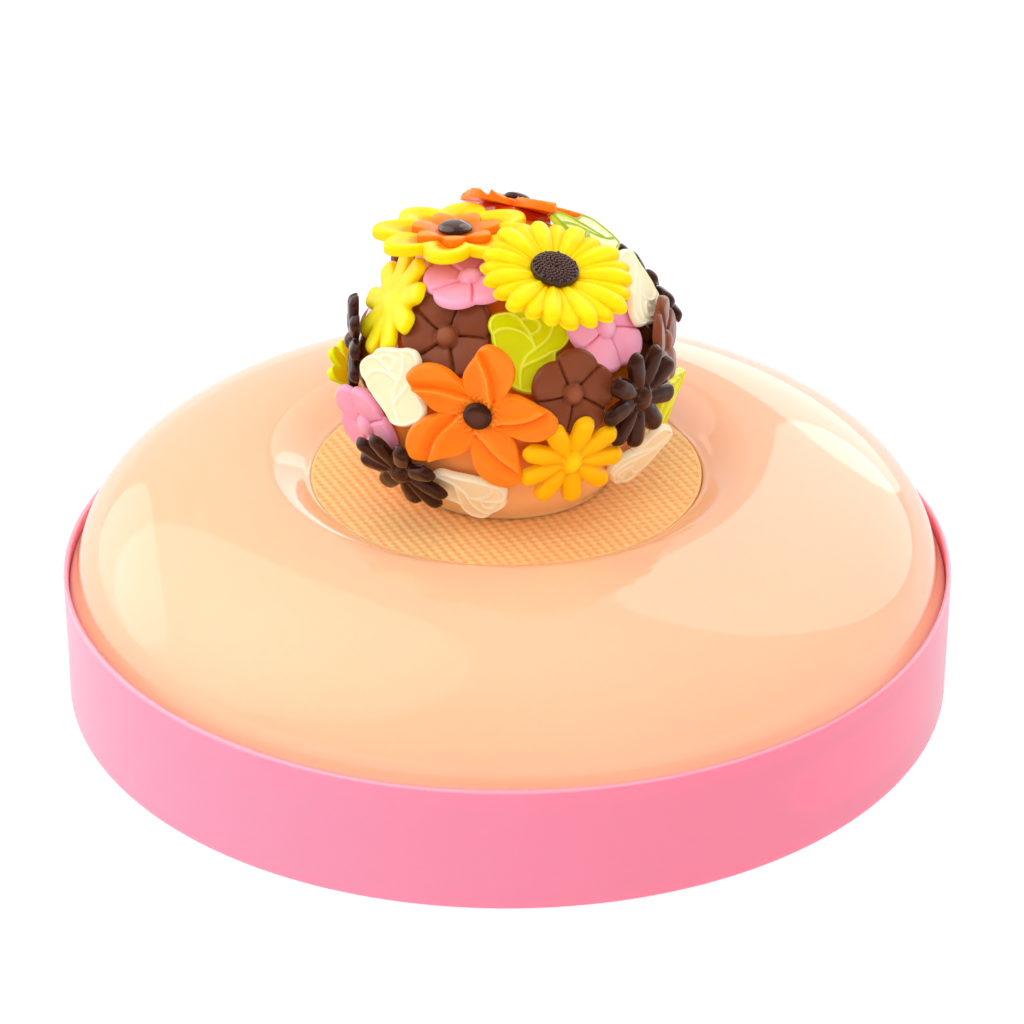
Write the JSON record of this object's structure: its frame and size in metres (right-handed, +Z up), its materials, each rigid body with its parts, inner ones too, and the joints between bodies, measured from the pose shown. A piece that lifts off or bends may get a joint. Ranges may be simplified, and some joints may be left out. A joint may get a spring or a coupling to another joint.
{
  "type": "flower cake",
  "caption": "Round glazed cake in a thin pink band, with a wafer in its shallow well and a glazed ball covered with moulded chocolate flowers on top.",
  "frame": {"origin": "centre of the cake's flat bottom", "axes": "+Z up along the cake's axis, -Y towards the viewer of the picture, +X to the viewer's right"},
  "size_m": [0.2, 0.2, 0.1146],
  "materials": {
    "pink_band": "glossy printed foil",
    "pale_glaze": "mirror glaze, apricot to pink",
    "wafer": "matt baked waffle pattern",
    "orange_glaze": "glossy orange glaze",
    "lemon_chocolate": "satin lemon-yellow chocolate",
    "golden_chocolate": "satin golden-yellow chocolate",
    "orange_chocolate": "satin orange chocolate",
    "dark_chocolate": "glossy dark chocolate",
    "milk_chocolate": "satin milk chocolate",
    "pink_chocolate": "satin pink chocolate",
    "lime_chocolate": "glossy lime-green chocolate",
    "cream_chocolate": "satin white chocolate"
  },
  "bodies": {
    "root": {"glazed_cake": "pale_glaze", "pink_band": "pink_band", "wafer_disc": "wafer", "glazed_ball": "orange_glaze", "plum_milk_under": "milk_chocolate", "plum_milk_left": "milk_chocolate", "rose_lime_front": "lime_chocolate", "plum_pink_right": "pink_chocolate", "plum_milk_front": "milk_chocolate", "rose_cream_top": "cream_chocolate", "rose_lime_right": "lime_chocolate", "plum_milk_right": "milk_chocolate", "plum_pink_top": "pink_chocolate", "plum_pink_left": "pink_chocolate", "daisy_lemon_left": "lemon_chocolate", "rose_cream_left": "cream_chocolate", "daisy_dark_left": "dark_chocolate", "daisy_lime_back": "lime_chocolate", "rose_cream_right": "cream_chocolate", "daisy_dark_right": "dark_chocolate", "daisy_yellow_front": "golden_chocolate", "lily_orange_front": "orange_chocolate", "lily_orange_front_centre": "dark_chocolate", "rose_cream_front": "cream_chocolate", "daisy_dark_front": "dark_chocolate", "daisy_yellow_side": "golden_chocolate", "daisy_dark_low": "dark_chocolate", "plum_pink_back": "pink_chocolate", "plum_milk_low": "milk_chocolate", "plum_milk_side": "milk_chocolate", "rose_cream_back": "cream_chocolate", "plum_milk_back": "milk_chocolate", "sunflower_back": "lemon_chocolate", "sunflower_back_centre": "dark_chocolate", "lily_orange_back": "orange_chocolate", "lily_orange_back_centre": "dark_chocolate", "plate_flower": "lemon_chocolate", "plate_flower_star": "orange_chocolate", "plate_flower_centre": "dark_chocolate", "plum_pink_crown": "pink_chocolate", "lily_orange_crown": "orange_chocolate", "lily_orange_crown_centre": "dark_chocolate", "rose_lime_top": "lime_chocolate", "daisy_dark_back": "dark_chocolate", "sunflower_front": "lemon_chocolate", "sunflower_front_centre": "dark_chocolate"}
  },
  "joints": []
}
